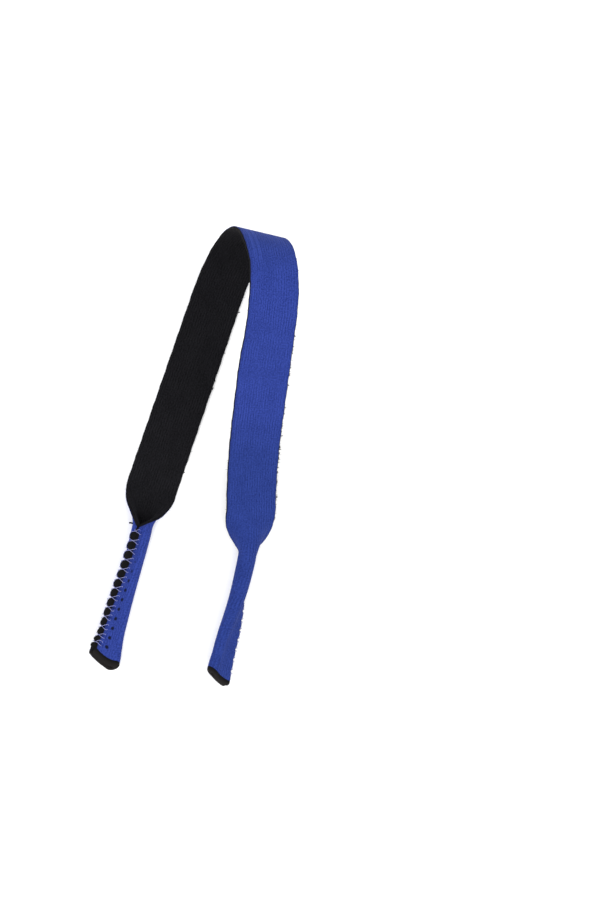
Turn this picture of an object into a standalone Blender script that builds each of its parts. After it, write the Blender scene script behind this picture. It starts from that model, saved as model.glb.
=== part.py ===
"""Neoprene eyeglasses strap, lying as a loop on a table.

One flat strip of three-layer laminate (outer jersey, foam core, lining jersey). Each end is folded
lengthwise, lining inside, and its raw edges are overstitched into a sleeve for a temple tip.

Frame: metres, +Z up, both sleeves along Y with their mouths facing -Y, crown at +Y.
The strip has its own coordinates: s runs along it from the start of the crown arc, v across it (edge A is
v < 0, edge B is v > 0), n through it (n > 0 towards the outer jersey).
"""

from functools import partial
from math import asin, atan2, cos, pi, radians, sin, tan

import bmesh
import bpy
import numpy as np

# Laminate
STRIP_WIDTH = 0.021
JERSEY = 0.0003
FOAM = 0.0010
LAYER_GAP = 0.0001
HALF_LAMINATE = FOAM / 2 + LAYER_GAP + JERSEY
LAYERS = {
    "outer_jersey": (FOAM / 2 + LAYER_GAP, HALF_LAMINATE),
    "foam_core": (-FOAM / 2, FOAM / 2),
    "lining_jersey": (-HALF_LAMINATE, -FOAM / 2 - LAYER_GAP),
}

# Crown: the strip wraps obliquely round a horizontal bend and comes back down to the table
CROWN_RADIUS = 0.0235
CROWN_EASE = 0.15
HELIX = radians(9.3)
RULING_YAW = radians(4.1)
DESCENT = radians(30)
LEVEL_OUT_RADIUS = 0.070
LEVEL_LENGTH = 0.004
LEFT_FLAT_LENGTH = 0.086

# Sleeves: a funnel where the strip rolls up, then a tube that turns and flattens towards its mouth
FUNNEL_LENGTH = 0.014
SLEEVE_LENGTH = {"left": 0.056, "right": 0.052}
NECK_RADIUS, MOUTH_RADIUS = 0.0029, 0.0014
NECK_FILLET, MOUTH_FILLET = 0.0013, 0.0070
NECK_CENTRE, MOUTH_CENTRE = 0.0029, 0.0040
SEAM_FACE_GAP = 0.0002
SEAM_TURN = {"left": radians(66), "right": radians(60)}
EARLY_TURN = {"left": 0.5, "right": 0.0}
EARLY_TURN_END = 0.2
LATE_TURN_END = {"left": 1.0, "right": 0.75}
# How late each edge of the strip rolls up in the funnel: edge A, then edge B
ROLL_LATENESS = {"left": (1.0, 0.4), "right": (0.6, 0.9)}

# Seam threads: each weaves from one side of the seam over the raw edges to the other
THREAD_RADIUS = 0.00015
STITCH_PITCH = 0.004
STITCH_MARGIN = 0.002
NEEDLE_LINE = STRIP_WIDTH / 2 - 0.0035
THREAD_OFFSETS = {"needle_thread": 0.0003, "looper_thread": 0.00075}
THREAD_ROOM = max(THREAD_OFFSETS.values()) + THREAD_RADIUS
# A thread's knots within one stitch, as shares of the pitch
THREAD_KNOTS = (0.0, 0.25, 0.38, 0.5, 0.62, 0.75)
SHOULDER_DROP = 0.0008
CORNER_CUT = 0.75

# Slit between two pieces that flex against each other, and mesh density
FLEX_GAP = 0.0004
ARC_STEP = 0.004
SLEEVE_STEPS = 11
FUNNEL_STEPS = 6
BAND_ACROSS = 6
ROLLED_STATIONS = (0.16, 0.32, 0.46, 0.58, 0.68, 0.77, 0.86, 1.0)
SHARP_EDGE = radians(50)

# How finely curves are summed up and outlines measured
SECTION_SAMPLES = 841
CROWN_SAMPLES = 801
OUTLINE_SAMPLES = 61
FUNNEL_LINE_STEPS = 40
FOOTPRINT_STEPS = {"band": 400, "sleeve": 40}
SIDE_STEP = 0.001
PIVOT_SIZE = 0.01

COLOURS = {
    "outer_jersey": (0.037, 0.065, 0.352, 1),
    "foam_core": (0.012, 0.012, 0.013, 1),
    "lining_jersey": (0.009, 0.009, 0.011, 1),
    "needle_thread": (0.55, 0.52, 0.75, 1),
    "looper_thread": (0.60, 0.58, 0.80, 1),
}
ROUGHNESS = {
    "outer_jersey": 0.85,
    "foam_core": 0.75,
    "lining_jersey": 0.9,
    "needle_thread": 0.35,
    "looper_thread": 0.35,
}

UP = np.array([0.0, 0.0, 1.0])
RULING = np.array([cos(RULING_YAW), sin(RULING_YAW), 0.0])
FORWARD = np.array([-sin(RULING_YAW), cos(RULING_YAW), 0.0])
ALONG_SLEEVE = np.array([0.0, 1.0, 0.0])
ACROSS_SLEEVE = np.array([1.0, 0.0, 0.0])


def smooth(u):
    u = min(max(u, 0.0), 1.0)
    return u * u * (3 - 2 * u)


def mix(a, b, u):
    return a + (b - a) * u


# ---------------------------------------------------------------- sleeve cross-section


def rolled_heading(v, radius, fillet):
    """Direction of the rolled strip at v: an arc, a reverse fillet, then the straight seam fin."""
    offset = HALF_LAMINATE + SEAM_FACE_GAP / 2
    turn = pi - asin((offset + fillet) / (radius + fillet))
    past_arc = abs(v) - radius * turn
    past_fillet = past_arc - fillet * (turn - pi / 2)
    if past_arc < 0:
        heading = abs(v) / radius
    elif past_fillet < 0:
        heading = turn - past_arc / fillet
    else:
        heading = pi / 2
    return heading if v >= 0 else -heading


def section(roll, u):
    """Cross-section of the strip as a function of v and n: (x, height). roll(v) is from 0, flat, to 1.

    u is the place along the tube, 0 at the neck and 1 at the mouth.
    """
    ease = smooth(u)
    radius = mix(NECK_RADIUS, MOUTH_RADIUS, ease)
    fillet = mix(NECK_FILLET, MOUTH_FILLET, ease)
    fine = np.linspace(-STRIP_WIDTH / 2, STRIP_WIDTH / 2, SECTION_SAMPLES)
    middle = (fine[1:] + fine[:-1]) / 2
    heading = np.array([roll(v) * rolled_heading(v, radius, fillet) for v in middle])
    step = fine[1] - fine[0]
    x = np.concatenate([[0.0], np.cumsum(np.cos(heading)) * step])
    height = np.concatenate([[0.0], np.cumsum(np.sin(heading)) * step])
    centre = len(fine) // 2
    x -= x[centre]
    height -= height[centre]

    def at(v, n=0.0):
        angle = np.interp(v, middle, heading)
        return np.array([
            np.interp(v, fine, x) + n * sin(angle),
            np.interp(v, fine, height) - n * cos(angle),
        ])

    return at


def turned(point, centre_height, angle):
    """A cross-section point turned about the middle of the tube."""
    x, height = point[0], point[1] - centre_height
    return np.array([x * cos(angle) - height * sin(angle), x * sin(angle) + height * cos(angle)])


def seam_turn(side, u):
    """How far the seam has turned from the middle of the strip towards the sleeve's outer side."""
    early = EARLY_TURN[side] * smooth(u / EARLY_TURN_END)
    late = (1 - EARLY_TURN[side]) * smooth(u / LATE_TURN_END[side])
    angle = SEAM_TURN[side] * (early + late)
    return angle if side == "left" else -angle


def fully_rolled(v):
    return 1.0


def funnel_roll(side, u):
    """How far the strip has rolled up at u along the funnel, as a function of v."""
    late_a, late_b = ROLL_LATENESS[side]
    return lambda v: smooth(u) ** mix(late_a, late_b, v / STRIP_WIDTH + 0.5)


def tube_section(side, u):
    """Points of the turned tube at u, measured from the tube's middle, as a function of v and n."""
    at = section(fully_rolled, u)
    centre = mix(NECK_CENTRE, MOUTH_CENTRE, smooth(u))
    angle = seam_turn(side, u)
    return lambda v, n=0.0: turned(at(v, n), centre, angle)


def fin_envelope(side, u):
    """Corners of the box that the seam and its threads fill."""
    at = section(fully_rolled, u)
    centre = mix(NECK_CENTRE, MOUTH_CENTRE, smooth(u))
    half = 2 * HALF_LAMINATE + SEAM_FACE_GAP / 2 + THREAD_ROOM
    top = at(STRIP_WIDTH / 2)[1] + THREAD_ROOM
    angle = seam_turn(side, u)
    return [turned((sign * half, top), centre, angle) for sign in (-1, 1)]


def rest_height(side, u):
    """Height of the tube's middle when its lowest point lies on the table."""
    at = tube_section(side, u)
    stations = np.linspace(-STRIP_WIDTH / 2, STRIP_WIDTH / 2, OUTLINE_SAMPLES)
    outline = [at(v, HALF_LAMINATE) for v in stations]
    heights = [p[1] for p in outline + fin_envelope(side, u)]
    return -min(heights) if side == "left" else max(heights)


# ---------------------------------------------------------------- crown and legs

CROWN_TURN = pi + DESCENT
CROWN_LENGTH = CROWN_RADIUS * CROWN_TURN
LEVEL_HEIGHT = rest_height("right", 0.0) + NECK_CENTRE


def crown_curve():
    """The crown's side profile: bending eases in and out round the middle of the arc."""
    u = np.linspace(0, 1, CROWN_SAMPLES)
    middle = (u[1:] + u[:-1]) / 2
    heading = CROWN_TURN * (middle - CROWN_EASE * np.sin(2 * pi * middle) / (2 * pi))
    step = CROWN_LENGTH / len(middle)
    forward = np.concatenate([[0.0], np.cumsum(np.cos(heading)) * step])
    height = np.concatenate([[0.0], np.cumsum(np.sin(heading)) * step])
    return u * CROWN_LENGTH, forward, height + HALF_LAMINATE


CROWN_ARC, CROWN_FORWARD, CROWN_HEIGHT = crown_curve()
LEVEL_DROP = LEVEL_OUT_RADIUS * (1 - cos(DESCENT))
DESCENT_LENGTH = (CROWN_HEIGHT[-1] - LEVEL_HEIGHT - LEVEL_DROP) / sin(DESCENT)
LEVEL_START = CROWN_LENGTH + DESCENT_LENGTH + LEVEL_OUT_RADIUS * DESCENT

S_LEFT = -LEFT_FLAT_LENGTH
S_APEX = CROWN_LENGTH * 0.5 / cos(HELIX)
S_ARC_END = CROWN_LENGTH / cos(HELIX)
S_RIGHT = (LEVEL_START + LEVEL_LENGTH) / cos(HELIX)


def profile(q):
    """Forward distance, height and heading of the bent strip at q along the bend."""
    if q < 0:
        return q, HALF_LAMINATE, 0.0
    if q < CROWN_LENGTH:
        part = q / CROWN_LENGTH
        heading = CROWN_TURN * (part - CROWN_EASE * sin(2 * pi * part) / (2 * pi))
        return np.interp(q, CROWN_ARC, CROWN_FORWARD), np.interp(q, CROWN_ARC, CROWN_HEIGHT), heading
    run = min(q - CROWN_LENGTH, DESCENT_LENGTH)
    forward = CROWN_FORWARD[-1] - run * cos(DESCENT)
    height = CROWN_HEIGHT[-1] - run * sin(DESCENT)
    angle = min(max((q - CROWN_LENGTH - DESCENT_LENGTH) / LEVEL_OUT_RADIUS, 0), DESCENT)
    forward -= LEVEL_OUT_RADIUS * (sin(DESCENT) - sin(DESCENT - angle))
    height -= LEVEL_OUT_RADIUS * (cos(DESCENT - angle) - cos(DESCENT))
    forward -= max(q - LEVEL_START, 0)
    return forward, height, CROWN_TURN - angle


def band_point(s, v, n=0.0):
    """A point of the flat or bent strip."""
    forward, height, heading = profile(s * cos(HELIX) - v * sin(HELIX))
    return (
        (forward + n * sin(heading)) * FORWARD
        + (s * sin(HELIX) + v * cos(HELIX)) * RULING
        + (height - n * cos(heading)) * UP
    )


# ---------------------------------------------------------------- funnels and sleeves


def funnel_start(side):
    """Middle of the strip where its funnel starts, and its heading towards the crown, as a yaw."""
    s = S_LEFT if side == "left" else S_RIGHT
    centre = band_point(s, 0.0)
    across = band_point(s, SIDE_STEP) - centre
    return centre, atan2(across[1], across[0])


def funnel_centres(side):
    """The funnel's middle line: its heading turns smoothly from the flat strip's to the sleeve's."""
    centre, yaw = funnel_start(side)
    line = [centre]
    for i in range(FUNNEL_LINE_STEPS):
        angle = yaw * (1 - smooth((i + 0.5) / FUNNEL_LINE_STEPS))
        direction = np.array([-sin(angle), cos(angle), 0.0])
        line.append(line[-1] - direction * FUNNEL_LENGTH / FUNNEL_LINE_STEPS)
    return yaw, line


FUNNELS = {side: funnel_centres(side) for side in ("left", "right")}


def sleeve_point(side, distance, v, n=0.0):
    """A point of a funnel or tube, at a distance from where the flat strip ends."""
    inward = 1.0 if side == "left" else -1.0
    yaw, line = FUNNELS[side]
    if distance <= FUNNEL_LENGTH:
        u = distance / FUNNEL_LENGTH
        angle = yaw * (1 - smooth(u))
        across = np.array([cos(angle), sin(angle), 0.0])
        place = u * (len(line) - 1)
        low = min(int(place), len(line) - 2)
        centre = mix(line[low], line[low + 1], place - low)
        x, height = section(funnel_roll(side, u), 0.0)(v, n)
        return centre + x * across + inward * height * UP
    u = (distance - FUNNEL_LENGTH) / SLEEVE_LENGTH[side]
    x, height = tube_section(side, u)(v, n)
    middle = line[-1] - ALONG_SLEEVE * (distance - FUNNEL_LENGTH)
    middle = np.array([middle[0], middle[1], rest_height(side, u)])
    return middle + x * ACROSS_SLEEVE + inward * height * UP


def rolled_stations():
    """Values of v that follow the rolled section's bends closely."""
    half = STRIP_WIDTH / 2
    outward = [half * share for share in ROLLED_STATIONS]
    return [-v for v in reversed(outward)] + [0.0] + outward


# ---------------------------------------------------------------- Blender objects


def clear_scene():
    for obj in list(bpy.data.objects):
        bpy.data.objects.remove(obj, do_unlink=True)


def make_material(kind):
    material = bpy.data.materials.new(kind)
    material.use_nodes = True
    shader = material.node_tree.nodes["Principled BSDF"]
    shader.inputs["Base Color"].default_value = COLOURS[kind]
    shader.inputs["Roughness"].default_value = ROUGHNESS[kind]
    shader.inputs["Metallic"].default_value = 0.0
    return material


def make_pivot(name, position, parent=None):
    """An empty on a joint's axis; the pieces that move with it hang on it."""
    pivot = bpy.data.objects.new(name, None)
    bpy.context.scene.collection.objects.link(pivot)
    pivot.empty_display_size = PIVOT_SIZE
    base = np.zeros(3)
    if parent is not None:
        pivot.parent = parent
        base = np.array(parent["world"])
    pivot.location = position - base
    pivot["world"] = list(position)
    return pivot


def add_object(name, data, kind, pivot, materials):
    obj = bpy.data.objects.new(name, data)
    bpy.context.scene.collection.objects.link(obj)
    obj.parent = pivot
    data.materials.append(materials[kind])
    return obj


def layer_mesh(name, rows, place, low, high, origin):
    """A closed strip of laminate between the offsets low and high.

    rows are the places along the strip, each with its values of v; place(row, v, n) gives the point.
    """
    bm = bmesh.new()
    faces = {}
    for n in (low, high):
        faces[n] = [[bm.verts.new(place(row, v, n) - origin) for v in across] for row, across in rows]
    top, bottom = faces[high], faces[low]
    last_row, last_col = len(rows) - 1, len(rows[0][1]) - 1
    for i in range(last_row):
        for j in range(last_col):
            for sheet in (top, bottom):
                a, b = sheet[i][j], sheet[i + 1][j]
                c, d = sheet[i + 1][j + 1], sheet[i][j + 1]
                bm.faces.new((a, b, c))
                bm.faces.new((a, c, d))
    rim = [(i, 0) for i in range(last_row)] + [(last_row, j) for j in range(last_col)]
    rim += [(i, last_col) for i in range(last_row, 0, -1)] + [(0, j) for j in range(last_col, 0, -1)]
    for (i, j), (k, m) in zip(rim, rim[1:] + rim[:1]):
        bm.faces.new((top[i][j], top[k][m], bottom[k][m]))
        bm.faces.new((top[i][j], bottom[k][m], bottom[i][j]))
    bmesh.ops.recalc_face_normals(bm, faces=bm.faces)
    mesh = bpy.data.meshes.new(name)
    bm.to_mesh(mesh)
    bm.free()
    mesh.shade_smooth()
    mesh.set_sharp_from_angle(angle=SHARP_EDGE)
    return mesh


def add_laminate(body, rows, place, pivot, materials):
    origin = np.array(pivot["world"])
    for kind, (low, high) in LAYERS.items():
        name = f"{body}_{kind}"
        add_object(name, layer_mesh(name, rows, place, low, high, origin), kind, pivot, materials)


def steps_between(start, end, step):
    count = max(1, round((end - start) / step))
    return [mix(start, end, i / count) for i in range(count + 1)]


def band_rows(start, end, bends):
    """Stations along a flat or bent stretch: close together where the strip bends."""
    stops = [start] + [b for b in bends if start < b < end] + [end]
    places = [start]
    for a, b in zip(stops, stops[1:]):
        bent = band_point((a + b) / 2, 0.0)[2] > 2 * HALF_LAMINATE or b > 0
        places += steps_between(a, b, ARC_STEP if bent else LEFT_FLAT_LENGTH)[1:]
    across = [mix(-STRIP_WIDTH / 2, STRIP_WIDTH / 2, j / BAND_ACROSS) for j in range(BAND_ACROSS + 1)]
    return [(s, across) for s in places]


def build_bands(pivots, materials):
    margin = STRIP_WIDTH / 2 * tan(HELIX)
    descent_end = (CROWN_LENGTH + DESCENT_LENGTH) / cos(HELIX)
    left = band_rows(S_LEFT + FLEX_GAP / 2, S_APEX - FLEX_GAP / 2, [-margin])
    right = band_rows(S_APEX + FLEX_GAP / 2, S_RIGHT - FLEX_GAP / 2, [S_ARC_END, descent_end])
    add_laminate("left_band", left, band_point, pivots["left_band"], materials)
    add_laminate("right_band", right, band_point, pivots["right_band"], materials)


def build_sleeve(side, pivots, materials):
    across = rolled_stations()
    end = FUNNEL_LENGTH + SLEEVE_LENGTH[side]
    spans = {
        f"{side}_neck": (FLEX_GAP / 2, FUNNEL_LENGTH - FLEX_GAP / 2, FUNNEL_STEPS),
        f"{side}_sleeve": (FUNNEL_LENGTH + FLEX_GAP / 2, end, SLEEVE_STEPS),
    }
    for body, (first, last, steps) in spans.items():
        rows = [(mix(first, last, i / steps), across) for i in range(steps + 1)]
        add_laminate(body, rows, partial(sleeve_point, side), pivots[body], materials)


def thread_points(side, offset, phase):
    """One seam thread: over the raw edges at every stitch, to and fro between the needle lines."""
    half_fin = 2 * HALF_LAMINATE + SEAM_FACE_GAP / 2
    inward = 1.0 if side == "left" else -1.0
    line = FUNNELS[side][1][-1]
    stitches = int((SLEEVE_LENGTH[side] - 2 * STITCH_MARGIN) / STITCH_PITCH)
    points = []
    for i in range(stitches):
        sign = phase * (1 if i % 2 else -1)
        for j, share in enumerate(THREAD_KNOTS):
            distance = STITCH_MARGIN + (i + share) * STITCH_PITCH
            u = distance / SLEEVE_LENGTH[side]
            at = section(fully_rolled, u)
            edge = at(STRIP_WIDTH / 2)[1]
            start = at(-NEEDLE_LINE, HALF_LAMINATE + offset)
            reach = half_fin + offset
            route = [
                (start[0], start[1]),
                (-reach, edge - SHOULDER_DROP),
                (-half_fin - CORNER_CUT * offset, edge + CORNER_CUT * offset),
                (0.0, edge + offset),
                (half_fin + CORNER_CUT * offset, edge + CORNER_CUT * offset),
                (reach, edge - SHOULDER_DROP),
            ]
            x, height = route[j]
            centre = mix(NECK_CENTRE, MOUTH_CENTRE, smooth(u))
            x, height = turned((-sign * x, height), centre, seam_turn(side, u))
            middle = np.array([line[0], line[1] - distance, rest_height(side, u)])
            points.append(middle + x * ACROSS_SLEEVE + inward * height * UP)
    return points


def add_thread(side, kind, phase, pivots, materials):
    pivot = pivots[f"{side}_sleeve"]
    name = f"{side}_{kind}"
    curve = bpy.data.curves.new(name, "CURVE")
    curve.dimensions = "3D"
    curve.bevel_depth = THREAD_RADIUS
    curve.bevel_resolution = 1
    curve.use_fill_caps = True
    points = thread_points(side, THREAD_OFFSETS[kind], phase)
    spline = curve.splines.new("POLY")
    spline.points.add(len(points) - 1)
    for target, point in zip(spline.points, points):
        target.co = (*(point - np.array(pivot["world"])), 1.0)
    add_object(name, curve, kind, pivot, materials)


def shifted_origin():
    """Footprint centre of the whole strap, on the table."""
    points = [band_point(s, v, HALF_LAMINATE) for s in np.linspace(S_LEFT, S_RIGHT, FOOTPRINT_STEPS["band"])
              for v in (-STRIP_WIDTH / 2, STRIP_WIDTH / 2)]
    for side in ("left", "right"):
        for distance in np.linspace(0, FUNNEL_LENGTH + SLEEVE_LENGTH[side], FOOTPRINT_STEPS["sleeve"]):
            points += [sleeve_point(side, distance, v, HALF_LAMINATE) for v in rolled_stations()]
        points += thread_points(side, THREAD_OFFSETS["looper_thread"], 1)
    low, high = np.min(points, axis=0), np.max(points, axis=0)
    return np.array([(low[0] + high[0]) / 2, (low[1] + high[1]) / 2, 0.0])


def joint_points():
    """Where each joint's axis passes: on the surface that closes as the joint opens."""
    points = {"right_band": band_point(S_APEX, 0.0, HALF_LAMINATE)}
    for side, up in (("left", -HALF_LAMINATE), ("right", HALF_LAMINATE)):
        points[f"{side}_neck"] = band_point(S_LEFT if side == "left" else S_RIGHT, 0.0, up)
        line = FUNNELS[side][1][-1]
        points[f"{side}_sleeve"] = np.array([line[0], line[1], rest_height(side, 0.0)])
    return points


def main():
    clear_scene()
    materials = {kind: make_material(kind) for kind in COLOURS}
    points = joint_points()
    pivots = {"left_band": make_pivot("strap", np.zeros(3))}
    pivots["right_band"] = make_pivot("crown_pivot", points["right_band"], pivots["left_band"])
    for side in ("left", "right"):
        band = pivots[f"{side}_band"]
        pivots[f"{side}_neck"] = make_pivot(f"{side}_neck_pivot", points[f"{side}_neck"], band)
        neck = pivots[f"{side}_neck"]
        pivots[f"{side}_sleeve"] = make_pivot(f"{side}_sleeve_pivot", points[f"{side}_sleeve"], neck)
    build_bands(pivots, materials)
    for side in ("left", "right"):
        build_sleeve(side, pivots, materials)
        add_thread(side, "needle_thread", 1, pivots, materials)
        add_thread(side, "looper_thread", -1, pivots, materials)
    pivots["left_band"].location = -shifted_origin()


main()
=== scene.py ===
"""Looks of the neoprene eyeglasses strap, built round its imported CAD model. Metres, +Z up.

The strap is one long strip of laminate, so every layer is cut from the same surface: t runs along it from
the left mouth to the right mouth, v across it (edge A is v < 0, edge B is v > 0) and n through it (n > 0
towards the blue jersey). Each layer is divided into five zones, so that each zone crosses at most one joint.
"""

from math import asin, atan2, cos, pi, radians, sin, tan

import bmesh
import bpy
import numpy as np
from mathutils import Matrix, Vector


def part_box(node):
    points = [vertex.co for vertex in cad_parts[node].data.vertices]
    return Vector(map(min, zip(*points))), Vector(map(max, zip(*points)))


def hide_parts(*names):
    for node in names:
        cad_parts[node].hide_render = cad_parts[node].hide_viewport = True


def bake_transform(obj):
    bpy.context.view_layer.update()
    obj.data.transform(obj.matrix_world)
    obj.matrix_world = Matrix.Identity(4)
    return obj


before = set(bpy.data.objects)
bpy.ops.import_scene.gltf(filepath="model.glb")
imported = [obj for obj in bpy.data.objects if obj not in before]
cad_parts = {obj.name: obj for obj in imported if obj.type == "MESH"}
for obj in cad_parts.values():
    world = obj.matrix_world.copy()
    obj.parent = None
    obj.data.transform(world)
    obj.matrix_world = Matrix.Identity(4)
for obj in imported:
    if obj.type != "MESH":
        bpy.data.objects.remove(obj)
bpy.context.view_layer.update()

# ---- the strap's shape, as in the CAD model

STRIP_WIDTH = 0.021
HALF_WIDTH = STRIP_WIDTH / 2
JERSEY = 0.0003
HALF_LAMINATE = 0.0009
# The CAD model leaves a gap for the glue between the layers; here the foam fills it
HALF_FOAM = HALF_LAMINATE - JERSEY

CROWN_RADIUS = 0.0235
CROWN_EASE = 0.15
HELIX = radians(9.3)
RULING_YAW = radians(4.1)
DESCENT = radians(30)
LEVEL_OUT_RADIUS = 0.070
LEVEL_LENGTH = 0.004
LEFT_FLAT_LENGTH = 0.086

FUNNEL_LENGTH = 0.014
SLEEVE_LENGTH = {"left": 0.056, "right": 0.052}
NECK_RADIUS, MOUTH_RADIUS = 0.0029, 0.0014
NECK_FILLET, MOUTH_FILLET = 0.0013, 0.0070
NECK_CENTRE, MOUTH_CENTRE = 0.0029, 0.0040
SEAM_FACE_GAP = 0.0002
SEAM_TURN = {"left": radians(66), "right": radians(60)}
EARLY_TURN = {"left": 0.5, "right": 0.0}
LATE_TURN_END = {"left": 1.0, "right": 0.75}
CAD_THREAD_ROOM = 0.0009
FLEX_GAP = 0.0004

RULING = np.array([cos(RULING_YAW), sin(RULING_YAW), 0.0])
FORWARD = np.array([-sin(RULING_YAW), cos(RULING_YAW), 0.0])
UP = np.array([0.0, 0.0, 1.0])
INWARD = {"left": 1.0, "right": -1.0}

# ---- detail that only the looks have

# The real strip starts to curl before the funnel, and its seam starts to turn just before the sleeve
CURL_AHEAD = 0.006
TURN_AHEAD, EARLY_TURN_RUN = 0.006, 0.009
# How late each edge of the strip rolls up in the funnel: edge A, then edge B
ROLL_LATENESS = {"left": (1.35, 0.75), "right": (0.9, 1.0)}

STITCH_PITCH = 0.004
FIRST_STITCH = 0.0030
STITCHES = {"left": 13, "right": 12}
NEEDLE_LINE = HALF_WIDTH - 0.0035
THREAD_RADIUS = 0.00010
# Width of the seam fin against the CAD model's, at a stitch and half-way between two
WAIST = {"left": 0.28, "right": 0.84}
BULGE = 1.08
PINCH_START, PINCH_REACH = HALF_WIDTH - 0.0034, 0.0030
CREST_DROP = {"left": 0.0005, "right": 0.0002}
PINCH_RUN = 0.0012

# Where the loop turns back down, edge A is drawn in by a share of v: places s against the end of the arc
DRAWN_IN = 0.10
DRAWN_IN_FROM, DRAWN_IN_TO = (-0.034, -0.020), (0.001, 0.023)

# How each mouth was cut: metres along the sleeve, in all, for its +X side and for its upper side
MOUTH_CUT = {"left": (-0.0041, -0.0006, 0.0036), "right": (-0.0029, -0.0018, 0.0022)}
MOUTH_BOW = {"left": 0.0013, "right": 0.0009}
MOUTH_FLARE = {"left": 0.20, "right": 0.10}
CUT_REACH = 0.012
CUT_HALF_SPAN, CUT_HEIGHT = 0.005, 0.005
# Sideways drift of each sleeve: early and near the mouth. DRIFT_RUN is the share of the sleeve it takes
SLEEVE_DRIFT = {"left": (0.0004, -0.0011), "right": (0.0011, 0.0002)}
DRIFT_RUN = 0.9
SLEEVE_LOOSE = {"left": 0.10, "right": 0.0}
LOOSE_FROM = FUNNEL_LENGTH / 4

# Edges: the foam bulges past the strip's width, the cloth stops short of it and sinks towards the foam
JERSEY_INSET = 0.00016
EDGE_BULGE = 0.00010
FOAM_RIM, CLOTH_RIM = 0.0005, 0.0002
CLOTH_SINK = 0.00008
RIM_LEAST = 0.12

# The scissor-cut edges wander: two waves, in radians per metre, shifted differently at edge A and edge B
EDGE_WAVE = 0.00006
LONG_WAVE, SHORT_WAVE, SHORT_WAVE_SHARE = 610, 1430, 0.7
WAVE_SHIFTS = (1.3, 4.1)
WAVE_FADE = 3

# Mouths: the cloth leaves the foam's end bare, and the foam swells and closes there
MOUTH_BARE = 0.0015
MOUTH_ROUND, MOUTH_LEAST = 0.0007, 0.1
MOUTH_SWELL, MOUTH_CLOSED = 0.00088, 0.00098
SWELL_FROM, SWELL_RUN = 0.0004, 0.0007

# How finely the strip is divided
BAND_STEP, SLEEVE_STEP = 0.0010, 0.00033
MIDDLE_COLUMNS = {"band": 61, "sleeve": 81}
RIM_COLUMNS = 5
MOUTH_ROWS = 8
FINE_MARGIN, FINE_POINTS = 0.0005, 881
OUTLINE_POINTS = 61
CROWN_POINTS = 801
FUNNEL_STEPS = 40
SIDE_STEP = 0.001


def smooth(u):
    u = np.clip(u, 0.0, 1.0)
    return u * u * (3 - 2 * u)


def mix(a, b, u):
    return a + (b - a) * u


# ---- sleeve cross-section

FINE = np.linspace(-HALF_WIDTH - FINE_MARGIN, HALF_WIDTH + FINE_MARGIN, FINE_POINTS)
FINE_MIDDLE = (FINE[1:] + FINE[:-1]) / 2
FINE_STEP = FINE[1] - FINE[0]


def rolled_heading(v, radius, fillet):
    """Direction of the rolled strip at v: an arc, a reverse fillet, then the straight seam fin."""
    offset = HALF_LAMINATE + SEAM_FACE_GAP / 2
    turn = pi - asin((offset + fillet) / (radius + fillet))
    past_arc = np.abs(v) - radius * turn
    past_fillet = past_arc - fillet * (turn - pi / 2)
    bend = np.where(past_fillet < 0, turn - past_arc / fillet, pi / 2)
    return np.sign(v) * np.where(past_arc < 0, np.abs(v) / radius, bend)


def fully_rolled(v):
    """The roll of a finished sleeve, the same for every v."""
    return 1.0


def funnel_roll(side, distance):
    """How far the strip has rolled up, as a function of v. It ends abruptly, where the seam starts."""
    late_a, late_b = ROLL_LATENESS[side]
    u = np.clip((distance + CURL_AHEAD) / (FUNNEL_LENGTH + CURL_AHEAD), 0, 1)
    rolled = u * u * (3 - u) / 2
    return lambda v: rolled ** mix(late_a, late_b, v / STRIP_WIDTH + 0.5)


def section(roll, u, v, n):
    """Cross-section (x, height) of the strip at arrays v and n. roll(v) is from 0, flat, to 1."""
    ease = smooth(u)
    radius = mix(NECK_RADIUS, MOUTH_RADIUS, ease)
    fillet = mix(NECK_FILLET, MOUTH_FILLET, ease)
    heading = roll(FINE_MIDDLE) * rolled_heading(FINE_MIDDLE, radius, fillet)
    x = np.concatenate([[0.0], np.cumsum(np.cos(heading)) * FINE_STEP])
    height = np.concatenate([[0.0], np.cumsum(np.sin(heading)) * FINE_STEP])
    x -= x[len(FINE) // 2]
    height -= height[len(FINE) // 2]
    angle = np.interp(v, FINE_MIDDLE, heading)
    return (
        np.interp(v, FINE, x) + n * np.sin(angle),
        np.interp(v, FINE, height) - n * np.cos(angle),
    )


def seam_turn(side, u):
    """How far the seam has turned from the middle of the strip towards the sleeve's outer side."""
    early = EARLY_TURN[side] * smooth((u * SLEEVE_LENGTH[side] + TURN_AHEAD) / EARLY_TURN_RUN)
    late = (1 - EARLY_TURN[side]) * smooth(u / LATE_TURN_END[side])
    return INWARD[side] * SEAM_TURN[side] * (early + late)


def turned(side, u, x, height):
    """A cross-section turned about the middle of the tube."""
    rise = height - mix(NECK_CENTRE, MOUTH_CENTRE, smooth(u))
    angle = seam_turn(side, u)
    return x * cos(angle) - rise * sin(angle), x * sin(angle) + rise * cos(angle)


def rest_height(side, u):
    """Height of the tube's middle when its lowest point lies on the table."""
    outline = np.linspace(-HALF_WIDTH, HALF_WIDTH, OUTLINE_POINTS)
    heights = turned(side, u, *section(fully_rolled, u, outline, HALF_LAMINATE))[1]
    half = 2 * HALF_LAMINATE + SEAM_FACE_GAP / 2 + CAD_THREAD_ROOM
    top = section(fully_rolled, u, HALF_WIDTH, 0.0)[1] + CAD_THREAD_ROOM
    corners = turned(side, u, np.array([-half, half]), np.array([top, top]))[1]
    heights = np.concatenate([heights, corners])
    return -heights.min() if side == "left" else heights.max()


# ---- crown and legs

CROWN_TURN = pi + DESCENT
CROWN_LENGTH = CROWN_RADIUS * CROWN_TURN
LEVEL_HEIGHT = rest_height("right", 0.0) + NECK_CENTRE


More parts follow.
